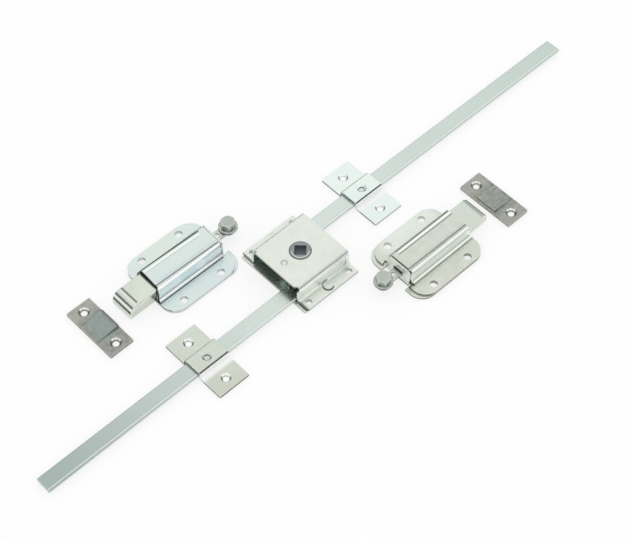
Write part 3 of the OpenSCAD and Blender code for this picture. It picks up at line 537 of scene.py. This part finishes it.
# Rounded copies: each CAD piece with small true radii on its edges, in millimetres. Edges
# sharper than sharp degrees are rounded, and only those higher than above. An upright face
# less tall than sheet counts as a cut face, and a face whose normal points to -X by more than
# the last value, where that isn't 0, takes the cut-face tone at full strength as painted shade
roundedLook = {"radius": 0.2, "sharp": 38, "sheet": 0.0, "above": -1.0, "shadedEnds": 0}
roundedPieces = {
    "lock_cover": dict(roundedLook, radius=0.22, sheet=2.1),
    "lock_base_plate": dict(roundedLook, radius=0.15, sheet=1.6),
    "lock_stop_rivet": dict(roundedLook, radius=0.08),
    "drive_hub": dict(roundedLook, radius=0.15, sheet=30.0, above=15.0),
    "lower_bar": dict(roundedLook, radius=0.15),
    "upper_bar": dict(roundedLook, radius=0.15),
    "lower_guide": dict(roundedLook, radius=0.22, sheet=2.1, shadedEnds=0.8),
    "upper_guide": dict(roundedLook, radius=0.22, sheet=2.1, shadedEnds=0.8),
    "striker1": dict(roundedLook, radius=0.35),
    "striker2": dict(roundedLook, radius=0.35),
}
for number in (1, 2):
    roundedPieces.update({
        "latch%d_back_plate" % number: dict(roundedLook, radius=0.2, sheet=1.6),
        "latch%d_cover_plate" % number: dict(roundedLook, radius=0.22, sheet=1.6, shadedEnds=0.8),
        "latch%d_slam_bolt" % number: dict(roundedLook, radius=0.4),
        "latch%d_tail_strap" % number: dict(roundedLook, radius=0.25, sheet=2.1),
        "latch%d_clamp_nut" % number: dict(roundedLook, radius=0.1),
    })
roundingRules = {
    "mergeWithin": 0.03, "shortestEdge": 0.01,  # millimetres
    "flatWithin": 0.6, "smoothWithin": 36,  # degrees
    "uprightRise": 0.3,  # the most that the normal of an upright face rises or falls
    "segments": 2,
    "ownLength": 0.15, "faceReach": 2.2, "neighbourLength": 1.3,  # the room for a radius, as shares of it
}


def hasRoom(edge, radius, sharp):
    # whether the faces and edges beside an edge leave room for its radius
    if edge.calc_length() < roundingRules["ownLength"] * radius:
        return False
    start = edge.verts[0].co
    along = (edge.verts[1].co - start).normalized()
    for face in edge.link_faces:
        reach = max(((v.co - start) - along * (v.co - start).dot(along)).length for v in face.verts)
        if reach < roundingRules["faceReach"] * radius:
            return False
    return not any(other not in sharp and other.calc_length() < roundingRules["neighbourLength"] * radius
                   for v in edge.verts for other in v.link_edges)


def cleanShape(source):
    shape = bmesh.new()
    shape.from_mesh(source)
    bmesh.ops.remove_doubles(shape, verts=shape.verts, dist=roundingRules["mergeWithin"] * mm)
    bmesh.ops.dissolve_degenerate(shape, edges=shape.edges, dist=roundingRules["shortestEdge"] * mm)
    bmesh.ops.dissolve_limit(shape, angle_limit=math.radians(roundingRules["flatWithin"]),
                             verts=shape.verts, edges=shape.edges)
    return shape


def evenlyShaded(name, mesh):
    # the mesh with normals that follow its large faces
    piece = bpy.data.objects.new(name, mesh)
    scene.collection.objects.link(piece)
    weighted = piece.modifiers.new("evenShading", "WEIGHTED_NORMAL")
    weighted.keep_sharp = True
    final = bpy.data.meshes.new_from_object(piece.evaluated_get(bpy.context.evaluated_depsgraph_get()))
    bpy.data.objects.remove(piece)
    return final


def roundedMesh(name, source, look):
    shape = cleanShape(source)
    cut = shape.faces.layers.float.new("cutFace")
    ends = shape.faces.layers.float.new("shadedEndFace")
    rounded = shape.faces.layers.float.new("roundedEdge")
    for face in shape.faces:
        heights = [v.co.z for v in face.verts]
        upright = abs(face.normal.z) < roundingRules["uprightRise"]
        face[cut] = float(upright and max(heights) - min(heights) < look["sheet"] * mm)
        # a face turned to -X takes the cut-face tone at full strength, painted shade on that end
        face[ends] = float(look["shadedEnds"] > 0 and face.normal.x < -look["shadedEnds"])
    sharp = {e for e in shape.edges if len(e.link_faces) == 2
             and e.calc_face_angle(0) > math.radians(look["sharp"])
             and min(v.co.z for v in e.verts) > look["above"] * mm}
    roomy = [e for e in shape.edges if e in sharp and hasRoom(e, look["radius"] * mm, sharp)]
    made = bmesh.ops.bevel(shape, geom=roomy, offset=look["radius"] * mm, offset_type="OFFSET", profile=0.5,
                           segments=roundingRules["segments"], affect="EDGES", clamp_overlap=False)
    for face in made["faces"]:
        face[rounded] = 1.0
        face[cut] = face[ends] = 0.0
    for face in shape.faces:
        face.smooth = True
    mesh = bpy.data.meshes.new(name)
    shape.to_mesh(mesh)
    shape.free()
    mesh.set_sharp_from_angle(angle=math.radians(roundingRules["smoothWithin"]))
    return evenlyShaded(name, mesh)


def replaceNode(name, source, look, node):
    # a rounded mesh that shows in place of a CAD piece and moves with it
    mesh = roundedMesh(name, source, look)
    mesh.materials.clear()
    mesh.materials.append(finishOf(node))
    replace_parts(meshPiece(name, mesh, bodyOf[node]), node)


for name, look in roundedPieces.items():
    replaceNode(name + "_rounded", nodes[name].data, look, name)
print("rounded pieces made:", len(roundedPieces))


# Pieces grown by Geometry Nodes, then turned into plain meshes
def newTree(name, sizes):
    tree = bpy.data.node_groups.new(name, "GeometryNodeTree")
    for size in sizes:
        tree.interface.new_socket(size, in_out="INPUT", socket_type="NodeSocketFloat")
    tree.interface.new_socket("Geometry", in_out="OUTPUT", socket_type="NodeSocketGeometry")
    return tree, tree.nodes.new("NodeGroupInput").outputs


def endTree(tree, geometry, material):
    real = addNode(tree, "GeometryNodeRealizeInstances", {"Geometry": geometry}).outputs[0]
    dressed = addNode(tree, "GeometryNodeSetMaterial", {"Geometry": real, "Material": material}).outputs[0]
    addNode(tree, "NodeGroupOutput", {"Geometry": dressed})
    return tree


def raised(tree, geometry, height):
    place = addNode(tree, "ShaderNodeCombineXYZ", {2: height}).outputs[0]
    return addNode(tree, "GeometryNodeTransform", {"Geometry": geometry, "Translation": place}).outputs[0]


def joined(tree, *parts):
    node = tree.nodes.new("GeometryNodeJoinGeometry")
    for part in reversed(parts):
        tree.links.new(part, node.inputs[0])
    return node.outputs[0]


def overlap(tree, *parts):
    node = addNode(tree, "GeometryNodeMeshBoolean", operation="INTERSECT")
    for part in parts:
        tree.links.new(part, node.inputs[1])
    return node.outputs[0]


def rod(tree, radius, length, sides=64):
    # a round bar standing on its lower end
    bar = addNode(tree, "GeometryNodeMeshCylinder", {
        "Vertices": sides, "Radius": radius, "Depth": length}).outputs[0]
    return raised(tree, bar, mathNode(tree, "MULTIPLY", length, 0.5))


def cone(tree, topRadius, footRadius, height, sides):
    return addNode(tree, "GeometryNodeMeshCone", {
        "Vertices": sides, "Radius Top": topRadius, "Radius Bottom": footRadius, "Depth": height}).outputs[0]


def grown(name, tree, sizes, place):
    seed = bpy.data.objects.new(name, bpy.data.meshes.new(name))
    scene.collection.objects.link(seed)
    maker = seed.modifiers.new("grow", "NODES")
    maker.node_group = tree
    for socket in tree.interface.items_tree:
        if socket.in_out == "INPUT":
            maker[socket.identifier] = sizes[socket.name]
    mesh = bpy.data.meshes.new_from_object(seed.evaluated_get(bpy.context.evaluated_depsgraph_get()))
    seed.modifiers.remove(maker)
    bpy.data.objects.remove(seed)
    mesh.transform(place)
    return mesh


# Compression springs with closed end turns. keep is the share of a spring's length that is
# left at full travel
springLook = {"turns": 9.0, "wire": 1.1, "pointsPerTurn": 28, "wireSides": 12, "keep": 0.445}


def springTree(material, look):
    tree, given = newTree("coilSpring", ("Length", "Coil radius", "Wire radius", "Turns"))
    helix = addNode(tree, "GeometryNodeCurveSpiral", {
        "Resolution": look["pointsPerTurn"], "Rotations": given["Turns"], "Height": given["Length"],
        "Start Radius": given["Coil radius"], "End Radius": given["Coil radius"]}).outputs[0]
    wire = mathNode(tree, "MULTIPLY", given["Wire radius"], 2.0)
    endShare = mathNode(tree, "DIVIDE", 1.0, given["Turns"])
    farShare = mathNode(tree, "SUBTRACT", 1.0, endShare)
    share = addNode(tree, "GeometryNodeSplineParameter").outputs["Factor"]
    # each end turn rises by one wire and the open turns by the rest
    rise = mathNode(tree, "ADD", mapped(tree, share, 0.0, endShare, 0.0, wire),
                    mapped(tree, share, farShare, 1.0, 0.0, wire))
    openRise = mathNode(tree, "SUBTRACT", given["Length"], mathNode(tree, "MULTIPLY", wire, 2.0))
    rise = mathNode(tree, "ADD", rise, mapped(tree, share, endShare, farShare, 0.0, openRise))
    spot = addNode(tree, "GeometryNodeInputPosition").outputs[0]
    spot = addNode(tree, "ShaderNodeSeparateXYZ", {0: spot}).outputs
    spot = addNode(tree, "ShaderNodeCombineXYZ", {0: spot[0], 1: spot[1], 2: rise}).outputs[0]
    helix = addNode(tree, "GeometryNodeSetPosition", {"Geometry": helix, "Position": spot}).outputs[0]
    section = addNode(tree, "GeometryNodeCurvePrimitiveCircle", {
        "Resolution": look["wireSides"], "Radius": given["Wire radius"]}).outputs[0]
    coil = addNode(tree, "GeometryNodeCurveToMesh", {
        "Curve": helix, "Profile Curve": section, "Fill Caps": True}).outputs[0]
    coil = addNode(tree, "GeometryNodeSetShadeSmooth", {"Geometry": coil}).outputs[0]
    return endTree(tree, coil, material)


def makeSprings(look):
    tree = springTree(metals["spring_steel"], look)
    for number in (1, 2):
        name = "latch%d_spring" % number
        low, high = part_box(name)
        middle = (low + high) / 2
        wire = look["wire"] / 2 * mm
        lying = Matrix.Rotation(math.radians(90), 4, "Y")
        place = Matrix.Translation((low.x + wire, middle.y, middle.z)) @ lying
        mesh = grown(name + "_coil", tree, {
            "Length": high.x - low.x - 2 * wire, "Wire radius": wire,
            "Coil radius": (high.y - low.y) / 2 - wire, "Turns": look["turns"]}, place)
        piece = meshPiece(name + "_coil", mesh, "fixed_parts")
        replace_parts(piece, name)
        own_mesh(piece)


# Case rivets with low domed heads
rivetLook = dict(roundedLook, radius=0.14, dome=14.8, headDiameter=8.0, headHeight=1.1, shankDiameter=4.0,
                 domeSides=96)


def rivetTree(material, look):
    tree, given = newTree("caseRivets", (
        "Head radius", "Head height", "Dome radius", "Shank radius", "Shank length", "Spacing"))
    dome = addNode(tree, "GeometryNodeMeshUVSphere", {
        "Segments": look["domeSides"], "Rings": look["domeSides"], "Radius": given["Dome radius"]}).outputs[0]
    dome = raised(tree, dome, mathNode(tree, "SUBTRACT", given["Head height"], given["Dome radius"]))
    head = overlap(tree, rod(tree, given["Head radius"], given["Head height"]), dome)
    rivet = joined(tree, raised(tree, head, given["Shank length"]),
                   rod(tree, given["Shank radius"], given["Shank length"]))
    start = mathNode(tree, "MULTIPLY", given["Spacing"], -0.5)
    start = addNode(tree, "ShaderNodeCombineXYZ", {1: start}).outputs[0]
    step = addNode(tree, "ShaderNodeCombineXYZ", {1: given["Spacing"]}).outputs[0]
    spots = addNode(tree, "GeometryNodeMeshLine", {
        "Count": 2, "Start Location": start, "Offset": step}).outputs[0]
    rivets = addNode(tree, "GeometryNodeInstanceOnPoints", {"Points": spots, "Instance": rivet}).outputs[0]
    return endTree(tree, rivets, material)


def makeRivets(look):
    low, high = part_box("lock_rivets")
    mesh = grown("case_rivets", rivetTree(metals["rivet_steel"], look), {
        "Head radius": look["headDiameter"] / 2 * mm, "Head height": look["headHeight"] * mm,
        "Dome radius": look["dome"] * mm, "Shank radius": look["shankDiameter"] / 2 * mm,
        "Shank length": high.z - low.z - look["headHeight"] * mm,
        "Spacing": high.y - low.y - look["headDiameter"] * mm}, Matrix.Translation((0, 0, low.z)))
    replaceNode("case_rivets", mesh, look, "lock_rivets")


# Flanged hexagon screws that clamp the tail straps. chamfer and chamferFoot are the widths of
# the cone that cuts the hexagon's corners, at its top and foot, as shares of the flats, and
# overrun is how far one runs past the other, as a share of the head, so that no faces coincide
screwLook = dict(roundedLook, radius=0.22, sheet=7.0, acrossFlats=10.0, headHeight=6.6, rim=1.1, cone=1.0,
                 threadDiameter=6.0, chamfer=0.94, chamferFoot=1.9, overrun=0.1, flangeSides=96)


def screwTree(material, look):
    tree, given = newTree("flangedScrew", (
        "Across flats", "Head height", "Flange radius", "Rim height", "Cone height", "Thread radius",
        "Thread length", "Chamfer top", "Chamfer foot"))
    across, overrun, sides = given["Across flats"], look["overrun"], look["flangeSides"]
    # the hexagon runs past the cone above and the cone past the hexagon below
    hexagon = rod(tree, mathNode(tree, "DIVIDE", across, math.sqrt(3)),
                  mathNode(tree, "MULTIPLY", given["Head height"], 1 + 2 * overrun), sides=6)
    corners = cone(tree, mathNode(tree, "MULTIPLY", across, given["Chamfer top"]),
                   mathNode(tree, "MULTIPLY", across, given["Chamfer foot"]),
                   mathNode(tree, "MULTIPLY", given["Head height"], 1 + overrun), sides)
    corners = raised(tree, corners, mathNode(tree, "MULTIPLY", given["Head height"], -overrun))
    slope = cone(tree, mathNode(tree, "MULTIPLY", across, 0.5), given["Flange radius"],
                 given["Cone height"], sides)
    head = joined(tree, overlap(tree, hexagon, corners), raised(tree, slope, given["Rim height"]),
                  rod(tree, given["Flange radius"], given["Rim height"], sides=sides))
    screw = joined(tree, raised(tree, head, given["Thread length"]),
                   rod(tree, given["Thread radius"], given["Thread length"]))
    return endTree(tree, screw, material)


def makeScrews(look):
    tree = screwTree(metals["screw_plate"], look)
    for number in (1, 2):
        node = "latch%d_clamp_screw" % number
        low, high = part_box(node)
        middle = (low + high) / 2
        mesh = grown(node + "_grown", tree, {
            "Across flats": look["acrossFlats"] * mm, "Head height": look["headHeight"] * mm,
            "Flange radius": (high.x - low.x) / 2, "Rim height": look["rim"] * mm,
            "Cone height": look["cone"] * mm, "Thread radius": look["threadDiameter"] / 2 * mm,
            "Thread length": high.z - low.z - look["headHeight"] * mm,
            "Chamfer top": look["chamfer"] / 2, "Chamfer foot": look["chamferFoot"] / 2},
            Matrix.Translation((middle.x, middle.y, low.z)))
        replaceNode(node + "_grown", mesh, look, node)


makeSprings(springLook)
makeRivets(rivetLook)
makeScrews(screwLook)
print("springs, rivets and screws made")

# Floor, world and lamps. Lamps and cards hang in a direction of the picture's axes, at a
# distance and size in metres
studio = {
    "floorSize": 8.0, "floorDrop": 0.05 * mm, "floorGlow": 0.72,
    "floorPale": (0.28, 0.28, 0.28), "floorTrue": (0.85, 0.85, 0.85), "worldLevel": 0.97,
    "lamps": {
        "backLamp": {"from": (-0.15, 0.77, 0.62), "away": 1.4, "size": (1.4, 0.42), "level": 0.12,
                     "along": "bars"},
        "sideLamp": {"from": (0.86, -0.2, 0.46), "away": 1.3, "size": (0.9, 0.30), "level": 0.15,
                     "along": "bars"},
    },
    # dark cards that only show in the metal, to draw its bends
    "cardTone": (0.02, 0.02, 0.02),
    "cards": {
        "backCard": {"from": (-0.29, 0.91, 0.20), "away": 1.0, "size": (1.7, 0.30), "along": "bars"},
        "overheadCard": {"from": (0.47, 0.085, 0.878), "away": 1.0, "size": (1.3, 0.10), "along": "bars"},
        "leftCard": {"from": (-0.84, -0.10, 0.53), "away": 1.0, "size": (1.0, 0.10), "along": "across"},
    },
}


def flatSheet(name, width, depth):
    x, y = width / 2, depth / 2
    mesh = bpy.data.meshes.new(name)
    mesh.from_pydata([(-x, -y, 0), (x, -y, 0), (x, y, 0), (-x, y, 0)], [], [(0, 1, 2, 3)])
    sheet = bpy.data.objects.new(name, mesh)
    scene.collection.objects.link(sheet)
    return sheet


def makeFloor(look):
    floor = flatSheet("paleFloor", look["floorSize"], look["floorSize"])
    floor.location.z = -look["floorDrop"]
    material = bpy.data.materials.new("floorPaint")
    material.use_nodes = True
    tree = material.node_tree
    tree.nodes.clear()
    # the camera and mirrors see a floor that is nearly white, and other light finds a plain one
    ray = addNode(tree, "ShaderNodeLightPath").outputs
    seen = mathNode(tree, "ADD", ray["Is Camera Ray"], ray["Is Glossy Ray"])
    seen = mathNode(tree, "ADD", seen, ray["Is Transmission Ray"], clamp=True)
    glow = addNode(tree, "ShaderNodeEmission", {
        "Color": (1, 1, 1, 1), "Strength": look["floorGlow"]}).outputs[0]
    pale = addNode(tree, "ShaderNodeBsdfDiffuse", {"Color": (*look["floorPale"], 1)}).outputs[0]
    true = addNode(tree, "ShaderNodeBsdfDiffuse", {"Color": (*look["floorTrue"], 1)}).outputs[0]
    bright = addNode(tree, "ShaderNodeAddShader", {0: glow, 1: pale}).outputs[0]
    mixed = addNode(tree, "ShaderNodeMixShader", {0: seen, 1: true, 2: bright}).outputs[0]
    addNode(tree, "ShaderNodeOutputMaterial", {"Surface": mixed})
    floor.data.materials.append(material)


def makeWorld(look):
    world = bpy.data.worlds.new("paleStudio")
    world.use_nodes = True
    background = world.node_tree.nodes["Background"].inputs
    background["Color"].default_value = (1, 1, 1, 1)
    background["Strength"].default_value = look["worldLevel"]
    scene.world = world


def facing(look):
    # where a lamp or card hangs, turned towards the lock case, its long side along or across the bars
    away = fromPicture(*look["from"]).normalized()
    side = Vector((1, 0, 0)) if look["along"] == "bars" else Vector((0, 1, 0))
    side = (side - away * away.dot(side)).normalized()
    turn = Matrix((side, away.cross(side), away)).transposed().to_4x4()
    return Matrix.Translation(away * look["away"]) @ turn


def makeLamp(name, look):
    data = bpy.data.lights.new(name, "AREA")
    data.shape = "RECTANGLE"
    data.size, data.size_y = look["size"]
    data.energy = look["level"] * math.pi * data.size * data.size_y
    lamp = bpy.data.objects.new(name, data)
    lamp.matrix_world = facing(look)
    scene.collection.objects.link(lamp)


def makeCard(name, look, tone):
    card = flatSheet(name, *look["size"])
    card.matrix_world = facing(look)
    card.visible_camera = card.visible_diffuse = card.visible_shadow = False
    material = bpy.data.materials.new(name + "Cloth")
    material.use_nodes = True
    surface = material.node_tree.nodes["Principled BSDF"].inputs
    surface["Base Color"].default_value = (*tone, 1)
    surface["Roughness"].default_value = 1.0
    card.data.materials.append(material)


makeFloor(studio)
makeWorld(studio)
for name, look in studio["lamps"].items():
    makeLamp(name, look)
for name, look in studio["cards"].items():
    makeCard(name, look, studio["cardTone"])
scene.view_settings.view_transform = "Standard"
print("studio made")
